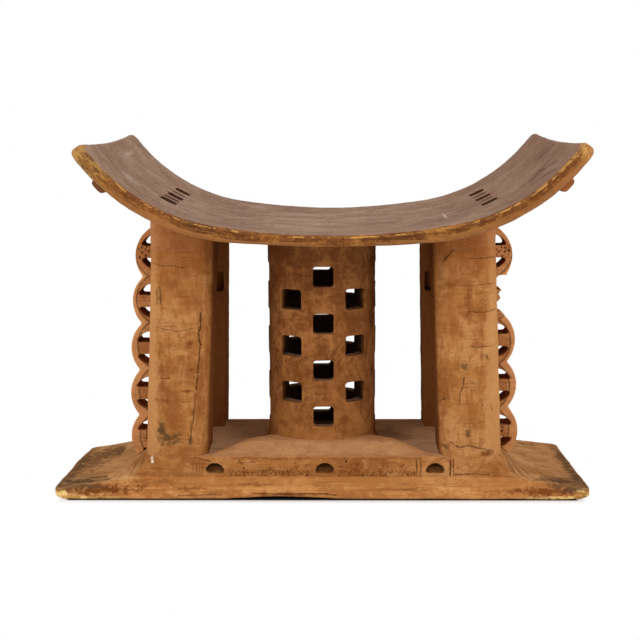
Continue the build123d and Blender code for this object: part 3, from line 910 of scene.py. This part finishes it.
# ---------------------------------------------------------------- the base: board and plinth
@dataclass
class Base:
    """The board that the stool rests on, and the plinth with its carved border."""

    nodes: dict[str, bpy.types.Object]
    board_skin: Skin = Skin(0.0017, 4, 0.0012, 0.0005, 0.05)
    plinth_skin: Skin = Skin(0.0015, 3, 0.0008, 0.0004, 0.03)
    plinth_foot: float = 0.024
    grey_reach: float = 0.262
    tip_reach: float = 0.271
    arch_rise: float = 0.0042
    corner_drop: float = -0.0040
    fan_middle: float = 0.180
    fan_strokes: float = 46.0
    fan_reach: float = 0.234
    mound_rise: float = 0.0115
    mound_reach: float = 0.132
    rear_share: float = 0.75
    ridge_start: tuple[float, float] = (0.0575, -0.037)
    ridge_slope: tuple[float, float] = (0.579, 0.815)
    niche_pitch: float = 0.115
    niche_shift: float = 0.0035
    niche_sill: float = 0.0273
    wedge_pitch: float = 0.0046
    wedge_height: float = 0.0026
    wedge_foot: float = 0.0266
    border_runs: tuple[tuple[float, float], ...] = ((-0.0957, -0.0145), (0.0190, 0.0976))

    def build(self) -> None:
        """Builds and dresses the board and the plinth."""
        board = carve(self.nodes, "base_board", self.board_skin)
        sculpt(board, "arch", self.arch_share, self.arch_rise)
        sculpt(board, "low_corner", self.low_corner_share, self.corner_drop)
        settle(board, "base_board", self.board_wood())
        plinth = carve(self.nodes, "plinth", self.plinth_skin, Lap(self.plinth_foot, False))
        sculpt(plinth, "mound", self.mound_share, self.mound_rise)
        settle(plinth, "plinth", self.plinth_wood())

    def arch_share(self, point: Vector) -> float:
        """Returns how far the board's lower front edge is worn up, at its tips and left of its middle."""
        edge = rise(point.y, -0.072, -0.089) * rise(point.z, 0.0085, 0.001)
        hollow = 0.65 * rise(abs(point.x + 0.045), 0.085, 0.0)
        return edge * max(hollow, 0.5 * rise(abs(point.x), 0.266, 0.279))

    def low_corner_share(self, point: Vector) -> float:
        """Returns how far the board's top is worn down at its rear left corner."""
        return rise(point.x, -0.20, -0.27) * rise(point.y, 0.02, 0.085) * rise(point.z, 0.001, 0.012)

    def mound_share(self, point: Vector) -> float:
        """Returns how far the plinth's top is left standing about the feet, with a hollow at each side."""
        run = abs(point.x) - self.ridge_start[0]
        behind = self.ridge_slope[0] * run + self.ridge_slope[1] * (point.y - self.ridge_start[1])
        hollow = rise(behind, 0.0, 0.012) * rise(point.y, 0.035, 0.0)
        front = rise(point.y, -0.0865, -0.058)
        rear = self.rear_share * min(max((0.084 - point.y) / 0.039, 0.0), 1.0)
        ends = rise(abs(point.x), 0.187, 0.165)
        if point.y < 0:
            falling = min(max((self.mound_reach - abs(point.x)) / 0.055, 0.0), 1.0)
            return front * falling * (1 - hollow) * rise(point.z, 0.036, 0.0445)
        return rear * (1 - hollow) * ends * rise(point.z, 0.036, 0.0445)

    def board_wood(self) -> bpy.types.Material:
        """Returns the board's wood: tan on top, grey at its ends, gold in front and pale at its corners."""
        wood = WoodGraph("board_wood", 0.6)
        streaks = wood.clouds((0.07, 0.009, 0.0028), 5.0, 0.65, 6.1, 0.4)
        ragged = (wood.clouds((0.03, 0.012, 0.008), 4.0, 0.6, 2.9) - 0.5) * 0.06
        reach = abs(wood.x) + ragged
        wood.mix_tones(BOARD_TONES)
        top = wood.colour
        wood.mix_tones(GOLD_TONES, 1.3)
        wood.paint(streaks.fade(0.52, 0.66) * 0.7, GOLD_TONES.dark)
        wood.paint(streaks.fade(0.66, 0.72) * 0.8, GOLD_TONES.dirt_and_shade)
        wood.paint(streaks.fade(0.42, 0.3) * 0.7, GOLD_TONES.pale)
        slope = wood.facing_y.fade(-0.15, -0.3) * wood.facing_z.fade(0.3, 0.6)
        wood.paint(slope * 0.5, BODY_TONES.ground)
        wood.cover(wood.facing_y.fade(-0.35, -0.7), top)
        upper = wood.facing_z.fade(0.5, 0.8)
        ends = reach.fade(self.grey_reach, self.grey_reach + 0.014)
        wood.paint(ends * wood.z.fade(0.005, 0.011) * 0.6, END_GREY)
        arris = wood.z.within(0.0122, 0.0138, 0.0008) * wood.y.fade(-0.08, -0.088)
        wood.paint(arris * wood.mottle.fade(0.45, 0.6) * 0.25, GOLD_TONES.worn)
        corners = reach.fade(0.212, 0.262) * wood.y.fade(-0.015, -0.07)
        wood.paint(corners * wood.z.fade(0.004, 0.011) * 0.55, END_GREY)
        wood.draw_marks(Sheet.TOP, upper, (), BOARD_SMUDGES)
        front = wood.facing_y.fade(-0.2, -0.5)
        wood.draw_marks(Sheet.FRONT, front, BOARD_CRACKS, BOARD_FRONT_SMUDGES)
        wood.carve_grain(BOARD_TONES)
        self.draw_fan(wood)
        gold = wood.colour
        wood.mix_tones(TIP_TONES, 1.4)
        wood.paint(wood.mottle.fade(0.44, 0.56), TIP_TONES.worn)
        tips = reach.fade(self.tip_reach - 0.006, self.tip_reach) * wood.z.fade(0.0125, 0.0085)
        low = reach.fade(0.19, 0.25) * wood.z.fade(0.005, 0.0035)
        front_side = (wood.y + ragged).fade(-0.07, -0.08)
        wood.cover(wood.most(tips, low) * front_side * wood.facing_z.fade(0.97, 0.85), gold)
        return wood.done()

    def draw_fan(self, wood: WoodGraph) -> None:
        """Cuts the fan of gouge strokes that runs from each end of the plinth out over the board.

        Args:
            wood: The wood that the strokes are cut in.
        """
        out = abs(wood.x) - self.fan_middle
        angle = wood.work("ARCTAN2", wood.y, out)
        radius = wood.slant(out, wood.y)
        waver = wood.clouds((0.02, 0.02, 0.02), 3.0, 0.6, 5.9) * 5.0
        turns = angle * self.fan_strokes + waver
        ridge = wood.work("SINE", turns) * 0.5 + 0.5
        ragged = abs(wood.x) + wood.flaw * 0.03
        spread = radius.fade(0.014, 0.024) * ragged.fade(self.fan_reach, self.fan_reach - 0.03)
        spread = spread * out.fade(0.0, 0.008) * wood.facing_z.fade(0.55, 0.75)
        spread = spread * wood.y.fade(-0.088, -0.076)
        spread = spread * wood.clouds((0.02, 0.02, 0.02), 2.0, 0.5, 1.2).fade(0.34, 0.55)
        wood.paint(spread * ridge.fade(0.4, 0.05) * 0.5, FAN_BROWN)
        wood.paint(spread * ridge.fade(0.6, 0.95) * 0.35, FAN_PALE)
        wood.cut(spread * (1.0 - ridge), 0.0008)

    def plinth_wood(self) -> bpy.types.Material:
        """Returns the plinth's wood, painted lighter on top as if lit, with its punched border on the front.
        """
        wood = WoodGraph("plinth_wood", 0.6)
        wood.mix_tones(BOARD_TONES)
        board = wood.colour
        wood.mix_tones(BODY_TONES, 1.1)
        cove = abs(wood.x) + wood.flaw * 0.03
        wood.cover(cove.fade(0.212, 0.19), board)
        # Painted light: the top faces are painted paler, the rear more so.
        upper = wood.facing_z.fade(0.6, 0.85) * wood.z.fade(0.036, 0.042)
        wood.paint(upper * 0.5, MOUND_LIGHT)
        wood.paint(upper * wood.y.fade(0.02, 0.07) * 0.5, MOUND_LIGHT)
        wood.paint(upper * wood.fleck.fade(0.5, 0.62) * 0.15, BODY_TONES.dark)
        run = abs(wood.x) - self.ridge_start[0]
        back = wood.y - self.ridge_start[1]
        behind = run * self.ridge_slope[0] + back * self.ridge_slope[1]
        hollow = behind.fade(0.001, 0.006) * wood.y.fade(0.055, 0.02) * upper
        between = abs(wood.x).fade(0.146, 0.132)
        # Painted light in the hollows beside the centre column, with brown streaks over it.
        wood.paint(hollow * between * 0.75, HOLLOW_LIGHT)
        wood.paint(hollow * between * wood.broad.fade(0.5, 0.6) * 0.35, FAN_BROWN)
        wood.carve_grain(BODY_TONES)
        self.draw_fan(wood)
        self.darken_niches(wood)
        front = wood.facing_y.fade(-0.5, -0.8)
        self.punch_border(wood, front)
        wood.draw_marks(Sheet.FRONT, front, PLINTH_CRACKS, PLINTH_SMUDGES)
        # Painted light: a small pale spot on the plinth's front, standing in for light seen through a pin
        # hole.
        pin_hole = wood.line(wood.sheet(Sheet.FRONT, 0.0), ((-0.1772, 0.0415), (-0.1770, 0.0392)), 0.0017)
        wood.paint(pin_hole * wood.y.fade(-0.05, -0.07), PIN_HOLE_LIGHT)
        return wood.done()

    def darken_niches(self, wood: WoodGraph) -> None:
        """Paints shade into the niches' hollows above their sills.

        Args:
            wood: The plinth's wood.
        """
        place = (wood.x - self.niche_shift) * (1 / self.niche_pitch)
        aside = abs(place - wood.work("ROUND", place))
        deep = abs(wood.y).fade(0.0825, 0.0795) * wood.z.fade(0.043, 0.041)
        hollow = deep * aside.fade(0.12, 0.1) * wood.z.fade(0.024, 0.026)
        above = wood.z.fade(self.niche_sill, self.niche_sill + 0.006)
        # Painted shade inside the niches.
        wood.paint(hollow * above * 0.85, RECESS_SHADE)

    def punch_border(self, wood: WoodGraph, front: Number) -> None:
        """Punches the two runs of small wedges along the plinth's foot, between the niches.

        Args:
            wood: The wood they are punched in.
            front: The mask of the front face.
        """
        drift = (wood.clouds((0.008, 0.008, 0.008), 2.0, 0.6, 3.6) - 0.5) * 0.004
        along = wood.x + drift
        cell = wood.work("FRACT", along * (1 / self.wedge_pitch))
        slant = abs(cell - 0.5) * (2 * self.wedge_height)
        offset = wood.z - self.wedge_foot - slant
        zigzag = abs(offset).fade(0.0008, 0.0003)
        foot = self.wedge_foot
        dots = abs(cell - 0.5).fade(0.3, 0.2) * wood.z.within(foot - 0.0018, foot - 0.001, 0.0004)
        runs = wood.most(*(wood.x.within(low, high, 0.001) for low, high in self.border_runs))
        worn_away = wood.clouds((0.012, 0.012, 0.004), 3.0, 0.6, 9.3).fade(0.36, 0.5)
        row = wood.z.within(foot - 0.0026, foot + 0.0034, 0.0006)
        stray = wood.z.within(foot, 0.0375, 0.002) * wood.mottle.fade(0.5, 0.58)
        nicks = wood.pits((0.003, 0.02, 0.0022), 0.7).fade(0.46, 0.24) * wood.most(row, stray)
        lines = wood.most(zigzag, dots) * 0.6
        punched = wood.most(lines, nicks) * runs * front * worn_away
        wood.paint(punched * 0.8, PUNCH_BROWN)
        wood.cut(punched, 0.0006)


# ---------------------------------------------------------------- the corner columns
@dataclass
class CornerColumns:
    """The four corner columns, the rear two painted dark as if in the shade of the seat."""

    nodes: dict[str, bpy.types.Object]
    skin: Skin = Skin(0.0014, 4, 0.0014, 0.0005, 0.02)

    def build(self) -> None:
        """Builds and dresses the four columns."""
        woods = {"front": self.front_wood(), "rear": self.rear_wood()}
        for row, wood in woods.items():
            for side in ("left", "right"):
                node = f"{row}_{side}_column"
                settle(carve(self.nodes, node, self.skin, FOOT_LAP, TOP_LAP), node, wood)

    def front_wood(self) -> bpy.types.Material:
        """Returns the front columns' wood with its cracks, scars and smudges."""
        wood = WoodGraph("front_column_wood", 0.6)
        wood.paint_shaft()
        wood.carve_grain(BODY_TONES)
        front = wood.facing_y.fade(-0.3, -0.6)
        wood.draw_marks(Sheet.FRONT, front, COLUMN_CRACKS, COLUMN_SMUDGES)
        return wood.done()

    def rear_wood(self) -> bpy.types.Material:
        """Returns the rear columns' wood, with painted shade where it faces forwards and inwards."""
        wood = WoodGraph("rear_column_wood", 0.65)
        wood.paint_shaft()
        wood.carve_grain(REAR_SHADE_TONES)
        return wood.done()


# ---------------------------------------------------------------- the centre column
@dataclass
class CentreColumn:
    """The hollow, pierced centre column, dark inside."""

    nodes: dict[str, bpy.types.Object]
    skin: Skin = Skin(0.0013, 1, 0.0010, 0.0004, 0.02)
    face_radius: float = 0.0585
    uneven_hole: float = 0.180
    hole_rise: float = 0.0065

    def build(self) -> None:
        """Builds and dresses the column."""
        column = carve(self.nodes, "central_column", self.skin, FOOT_LAP, TOP_LAP)
        sculpt(column, "rear_holes", self.rear_share, self.hole_rise)
        settle(column, "central_column", self.wood())

    def rear_share(self, point: Vector) -> float:
        """Returns how far the rear holes sit above the front ones' line, most at one uneven hole."""
        inner = rise(point.z, 0.046, 0.058) * rise(point.z, 0.262, 0.246)
        uneven = 0.5 + 0.5 * rise(abs(point.z - self.uneven_hole), 0.03, 0.005)
        return rise(point.y, 0.0, 0.03) * inner * uneven

    def wood(self) -> bpy.types.Material:
        """Returns the column's wood in shaded tones: darker towards the top under the seat, with painted
        shade in its bore and dust on its sills, and less painted shade at its foot.
        """
        wood = WoodGraph("centre_column_wood", 0.62)
        # Painted shade: the column stands back under the seat, so it is mixed from the shaded tones.
        wood.mix_tones(SHADE_TONES, 1.2)
        # Less painted shade at the foot: it is painted back towards the unshaded column tone.
        foot = wood.z.fade(0.13, 0.05)
        wood.paint(foot * 0.55, BODY_TONES.ground)
        # Painted shade under the seat: darker towards the top.
        wood.paint(wood.z.fade(0.2, 0.255) * 0.2, SHADE_TONES.dark)
        upright = wood.clouds((0.014, 0.014, 0.024), 6.0, 0.72, 3.4, 0.25)
        wood.paint(upright.fade(0.51, 0.62) * 0.6, SHADE_TONES.stain)
        wood.paint(upright.fade(0.48, 0.38) * 0.6, BODY_TONES.ground)
        wood.carve_grain(SHADE_TONES)
        wood.draw_marks(Sheet.FRONT, wood.facing_y.fade(-0.3, -0.6), (), CENTRE_SMUDGES)
        # Painted shade in the bore, with dust left on the sills.
        from_axis = wood.slant(wood.x, wood.y)
        inside = from_axis.fade(self.face_radius - 0.001, self.face_radius - 0.008)
        sill = wood.facing_z.fade(0.4, 0.8)
        wood.paint(inside * 0.85, RECESS_SHADE)
        wood.paint(inside * sill * 0.75, DUST)
        return wood.done()


# ---------------------------------------------------------------- the end screens
@dataclass
class EndScreens:
    """The openwork screens of scalloped discs at both ends."""

    nodes: dict[str, bpy.types.Object]
    skin: Skin = Skin(0.0012, 3, 0.0006, 0.0004, 0.01)
    middle_shift: float = 0.002
    disc_centre: float = 0.172
    groove_radius: float = 0.0295
    opening_radius: float = 0.0225
    thinning: float = 0.75
    disc_rows: tuple[tuple[str, float, float], ...] = (("left", 0.050, 0.0505), ("right", 0.056, 0.0491))

    def build(self) -> None:
        """Builds and dresses both screens, worked back on their faces so that daylight shows through."""
        for side, lowest, pitch in self.disc_rows:
            wood = self.wood(lowest, pitch)
            node = f"{side}_end_screen"
            screen = carve(self.nodes, node, self.skin, FOOT_LAP, TOP_LAP)
            with editing(screen):
                bpy.ops.transform.resize(value=(1, self.thinning, 1), center_override=NOWHERE)
            settle(screen, node, wood)

    def wood(self, lowest: float, pitch: float) -> bpy.types.Material:
        """Dresses a screen, with its punched bands between the openings.

        Args:
            lowest: The height of the lowest disc's middle.
            pitch: The height from one disc to the next.

        Returns:
            The screen's wood.
        """
        wood = WoodGraph("screen_wood", 0.62)
        wood.mix_tones(DISC_TONES, 1.1)
        wood.carve_grain(DISC_TONES)
        reach = abs(wood.x - self.middle_shift)
        face = abs(wood.facing_y).fade(0.6, 0.85)
        row = (wood.z - lowest) / pitch
        climb = (row - wood.work("ROUND", row)) * pitch
        distance = wood.slant(climb, reach - self.disc_centre)
        radius = self.groove_radius
        groove = distance.within(radius - 0.0006, radius + 0.0006, 0.0009)
        outside = reach.fade(0.18, 0.184)
        rim = distance.fade(radius, radius + 0.001)
        wood.paint(rim * outside * 0.45, DISC_TONES.pale)
        heart = distance.fade(radius - 0.001, radius - 0.003)
        wood.paint(heart * outside * 0.3, DISC_TONES.dark)
        wood.paint(groove * face * outside * 0.4, DISC_TONES.dirt_and_shade)
        # Painted shade on the walls of the openings.
        cut_sides = abs(wood.facing_y).fade(0.7, 0.4)
        opening = distance.fade(self.opening_radius, self.opening_radius - 0.003)
        wood.paint(opening * cut_sides * 0.7, DISC_TONES.dirt_and_shade)
        wood.cut(groove * face * outside, 0.001)
        band = abs(climb).fade(0.0075, 0.0062) * heart
        dots = wood.pits((0.0036, 0.02, 0.0036), 0.4).fade(0.42, 0.25)
        end_discs = wood.most(wood.z.fade(0.08, 0.076), wood.z.fade(0.226, 0.23))
        dots = dots * (end_discs * 0.8 + 0.2)
        punched = dots * band * face
        wood.paint(band * face * 0.3, DISC_TONES.dark)
        wood.paint(punched * 0.8, DISC_TONES.dirt_and_shade)
        wood.cut(punched, 0.0008)
        return wood.done()


# ---------------------------------------------------------------- the seat
@dataclass
class Seat:
    """The curved seat with its slots, and the lug under each end."""

    nodes: dict[str, bpy.types.Object]
    skin: Skin = Skin(0.0021, 3, 0.0010, 0.0005, 0.05)
    lug_skin: Skin = Skin(0.0010, 4, 0.0004, 0.0003, 0.01)
    middle_shift: float = 0.0117
    arc_start: float = 0.0814
    arc_height: float = 0.4788
    arc_radius: float = 0.190
    rim_line: float = 0.144
    tip_start: float = 0.250
    left_gold: float = 0.027
    width: float = 0.290
    dish: float = 0.018
    rear_lift: float = 0.010
    middle_sag: float = 0.0072
    middle_bend: float = 0.735
    slot_span: tuple[float, float] = (0.155, 0.186)
    slot_reach: tuple[float, float] = (-0.0465, 0.0900)
    patina_depth: float = 0.0085

    def build(self) -> None:
        """Builds and dresses the seat and the lugs."""
        wood = self.wood()
        seat = carve(self.nodes, "seat", self.skin, Lap(HEAD_SEAM, False))
        settle(seat, "seat", wood)
        for side in ("left", "right"):
            node = f"{side}_lug"
            settle(carve(self.nodes, node, self.lug_skin), node, wood)

    def bend_grain(self, wood: WoodGraph) -> tuple[Value, Value]:
        """Turns the wood's grain to follow the seat's curve.

        Args:
            wood: The seat's wood.

        Returns:
            The length along the seat from its middle, and the depth under its top.
        """
        from_middle = wood.x - self.middle_shift
        reach = abs(from_middle)
        beyond = (reach - self.arc_start).at_least(0.0)
        share = wood.y * (1 / self.width) + 0.5
        lift = share * (share * self.dish - (self.dish - self.rear_lift))
        drop = lift + self.arc_height - wood.z
        angle = wood.work("ARCTAN2", beyond, drop)
        radius = wood.slant(beyond, drop)
        length = reach.at_most(self.arc_start) + angle * self.arc_radius
        along = length * wood.work("SIGN", from_middle)
        wood.place = wood.join(along, wood.y, radius)
        sag = (self.middle_sag - reach * reach * self.middle_bend).at_least(0.0)
        return along, radius - self.arc_radius - sag

    def slot_mask(self, wood: WoodGraph, length: Value, depth: Value) -> Number:
        """Returns 1 inside the slots.

        Args:
            wood: The seat's wood.
            length: The length along the seat from its middle.
            depth: The depth under the seat's top.
        """
        low, high = self.slot_span
        near, far = self.slot_reach
        inside = depth.within(0.0026, 0.01, 0.001) * wood.y.within(near, far, 0.001)
        return inside * length.within(low, high, 0.002)

    def wood(self) -> bpy.types.Material:
        """Returns the seat's wood: greyed on top, golden along its edges, bare below, where the heads carry
        the columns' painted highlight and shade.
        """
        wood = WoodGraph("seat_wood", 0.58, 0.12)
        # The heads under the seat take the columns' painted highlight and painted shade.
        wood.paint_shaft()
        # Painted shade: the head over the centre column takes the column's shaded tone.
        middle = abs(wood.x).fade(0.085, 0.066)
        wood.paint(middle * 0.9, SHADE_TONES.ground)
        lug = abs(wood.x).fade(0.215, 0.22)
        wood.paint(lug * wood.x.fade(0.0, -0.1) * wood.y.fade(-0.12, -0.11) * 0.9, LUG_BROWN)
        below = wood.colour
        along, depth = self.bend_grain(wood)
        wood.read_grain()
        length = abs(along)
        streaks = wood.clouds((0.05, 0.01, 0.003), 5.0, 0.65, 6.1, 0.5)
        spots = wood.clouds((0.0055, 0.0035, 0.0022), 4.0, 0.7, 2.6, 0.4)
        wood.mix_tones(SEAT_TONES, 0.75)
        scrape = wood.clouds((0.03, 0.0022, 0.01), 3.0, 0.7, 4.2)
        wood.paint(scrape.fade(0.58, 0.75) * 0.25, SEAT_TONES.pale)
        wood.paint(scrape.fade(0.42, 0.28) * 0.25, SEAT_TONES.dark)
        grains = wood.clouds((0.0028, 0.0024, 0.0028), 3.0, 0.7, 4.9)
        wood.paint(grains.fade(0.56, 0.66) * 0.35, SEAT_TONES.pale)
        wood.paint(grains.fade(0.44, 0.34) * 0.35, SEAT_TONES.dark)
        wood.paint(spots.fade(0.58, 0.68) * 0.4, CHALK)
        wood.paint(wood.speck.fade(0.56, 0.66) * 0.4, SEAT_TONES.dark)
        wood.paint(along.fade(0.05, 0.26) * 0.35, SEAT_TONES.stain)
        top = wood.facing_z.fade(0.1, 0.35) * wood.z.fade(0.255, 0.27)
        wood.draw_marks(Sheet.SEAT, top, SEAT_CRACKS, SEAT_SMUDGES)
        wood.cover(top, below)
        dull = wood.colour
        wood.mix_tones(EDGE_TONES, 1.2)
        wood.paint(streaks.fade(0.5, 0.62) * 0.6, EDGE_TONES.dark)
        wood.paint(spots.fade(0.54, 0.64) * 0.6, EDGE_TONES.dirt_and_shade)
        wood.paint(spots.fade(0.44, 0.36) * 0.6, EDGE_TONES.pale)
        arris = wood.facing_z.within(0.42, 0.68, 0.1) * wood.mottle.fade(0.49, 0.56)
        wood.paint(arris * 0.7, GOLD_LEAF)
        ragged_depth = depth + (streaks - 0.5) * 0.02
        lower = ragged_depth.fade(self.patina_depth, self.patina_depth + 0.003)
        wood.paint(lower * 0.6, BODY_TONES.ground)
        middling = wood.colour
        wood.mix_tones(TIP_TONES, 1.3)
        wood.paint(wood.x.fade(-0.15, -0.2) * 0.3, TIP_TONES.dark)
        wood.paint(spots.fade(0.49, 0.58) * length.fade(0.262, 0.252) * 0.75, TIP_TONES.dirt_and_shade)
        further = along.fade(0.0, -0.1) * self.left_gold
        ragged_length = length + further + wood.flaw * 0.06
        wood.cover(ragged_length.fade(self.tip_start, self.tip_start + 0.012), middling)
        rim_distance = abs(wood.y) + spots * 0.006
        rim = rim_distance.fade(self.rim_line - 0.001, self.rim_line + 0.001)
        corner = length.fade(0.257, 0.261) * wood.y.fade(-0.127, -0.134)
        wood.cover(wood.most(rim, corner), dull)
        wood.carve_grain(SEAT_TONES, 0.0002)
        wood.cut(scrape * top, 0.0002)
        # Painted shade inside the slots.
        wood.paint(self.slot_mask(wood, length, depth) * 0.95, SLOT_SHADE)
        return wood.done()


# ---------------------------------------------------------------- the studio
@dataclass(frozen=True)
class Lamp:
    """A square soft lamp: where it stands, its side length and its power in watts."""

    name: str
    place: Point
    size: float
    power: float


@dataclass
class Studio:
    """The camera, the pale floor and the soft light."""

    camera_place: Point = (0.0157, -1.2982, 0.3789)
    camera_turn: Point = (0.155, -0.0032, 0.0138)
    lens: float = 67.5
    sensor: float = 36.0
    floor_size: float = 14.0
    lamps: tuple[Lamp, ...] = (
        Lamp("left_lamp", (-1.75, -1.3, 1.2), 1.2, 28.5),
        Lamp("right_lamp", (1.85, -1.2, 1.1), 1.2, 28.5),
        Lamp("top_lamp", (0.0, 0.1, 2.1), 1.5, 14.0),
    )
    sky_strength: float = 0.38
    footprint: tuple[float, float] = (0.265, 0.0905)
    shadow_reach: float = 0.012
    # Painted contact shadow: the paper's tone under the board's footprint.
    contact_shadow_paper: float = 0.03
    pale_paper: float = 0.86
    aim: Point = (0.0, 0.0, 0.18)

    def build(self) -> None:
        """Sets up the whole studio."""
        self.set_camera()
        self.lay_floor()
        self.hang_lamps()
        self.light_sky()
        bpy.context.scene.view_settings.view_transform = "Standard"

    def set_camera(self) -> None:
        """Creates the camera."""
        down, roll, yaw = self.camera_turn
        data = bpy.data.cameras.new("camera")
        data.lens = self.lens
        data.sensor_width = self.sensor
        camera = bpy.data.objects.new("camera", data)
        bpy.context.scene.collection.objects.link(camera)
        turn = (
            Matrix.Rotation(yaw, 4, "Z")
            @ Matrix.Rotation(math.pi / 2 - down, 4, "X")
            @ Matrix.Rotation(roll, 4, "Z")
        )
        camera.matrix_world = Matrix.Translation(self.camera_place) @ turn
        bpy.context.scene.camera = camera

    def lay_floor(self) -> None:
        """Lays the pale floor, which is white to the eye and keeps the stool's shadow near it, with a painted
        contact shadow darkening the paper under the board.
        """
        bpy.ops.mesh.primitive_grid_add(x_subdivisions=8, y_subdivisions=8, size=self.floor_size)
        floor = bpy.context.object
        floor.name = "floor"
        material = bpy.data.materials.new("floor_paper")
        material.use_nodes = True
        graph = NodeGraph(material.node_tree)
        rays = graph.add("ShaderNodeLightPath", {}).outputs
        mirrored = graph.work("ADD", rays["Is Glossy Ray"], rays["Is Transmission Ray"])
        either = {0: rays["Is Camera Ray"], 1: mirrored}
        seen = graph.get("ShaderNodeMath", either, operation="ADD", use_clamp=True)
        outside = graph.vector_work("ABSOLUTE", graph.get("ShaderNodeTexCoord", {}, "Object"))
        beyond = graph.vector_work("SUBTRACT", outside, (*self.footprint, 0.0))
        distance = graph.vector_work("LENGTH", graph.vector_work("MAXIMUM", beyond), output=1)
        # Painted contact shadow: the paper is darkened under the board's footprint and just around it.
        shade = {"Value": distance, "From Max": 0.002, "To Min": self.contact_shadow_paper, "To Max": self.pale_paper}
        shadowed_paper = graph.get("ShaderNodeMapRange", shade)
        reach = {"Value": distance, "From Max": self.shadow_reach, "To Max": 1.0}
        away = graph.get("ShaderNodeMapRange", reach)
        paper = graph.get("ShaderNodeBsdfDiffuse", {0: shadowed_paper})
        glow = graph.get("ShaderNodeEmission", {})
        blend = graph.get("ShaderNodeMixShader", {0: seen * away, 1: paper, 2: glow})
        graph.add("ShaderNodeOutputMaterial", {0: blend})
        floor.data.materials.append(material)

    def hang_lamps(self) -> None:
        """Hangs the soft lamps, each turned to the stool."""
        for lamp in self.lamps:
            data = bpy.data.lights.new(lamp.name, "AREA")
            data.shape = "SQUARE"
            data.size = lamp.size
            data.energy = lamp.power
            light = bpy.data.objects.new(lamp.name, data)
            bpy.context.scene.collection.objects.link(light)
            place = Matrix.Translation(lamp.place).translation
            towards = Matrix.Translation(self.aim).translation - place
            light.location = place
            light.rotation_euler = towards.to_track_quat("-Z", "Y").to_euler()

    def light_sky(self) -> None:
        """Lights the world softly, and shows it white."""
        world = bpy.data.worlds.new("sky")
        world.use_nodes = True
        graph = NodeGraph(world.node_tree)
        camera_ray = graph.get("ShaderNodeLightPath", {}, "Is Camera Ray")
        soft = graph.get("ShaderNodeBackground", {0: WHITE, 1: self.sky_strength})
        bright = graph.get("ShaderNodeBackground", {0: WHITE, 1: 1.0})
        blend = graph.get("ShaderNodeMixShader", {0: camera_ray, 1: soft, 2: bright})
        graph.add("ShaderNodeOutputWorld", {0: blend})
        bpy.context.scene.world = world


def main() -> None:
    """Builds the stool and its studio, in order."""
    logging.basicConfig(level=logging.INFO, format="%(name)s: %(message)s")
    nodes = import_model()["nodes"]
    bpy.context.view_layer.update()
    Base(nodes).build()
    CornerColumns(nodes).build()
    CentreColumn(nodes).build()
    EndScreens(nodes).build()
    Seat(nodes).build()
    Studio().build()


if __name__ == "__main__":
    main()
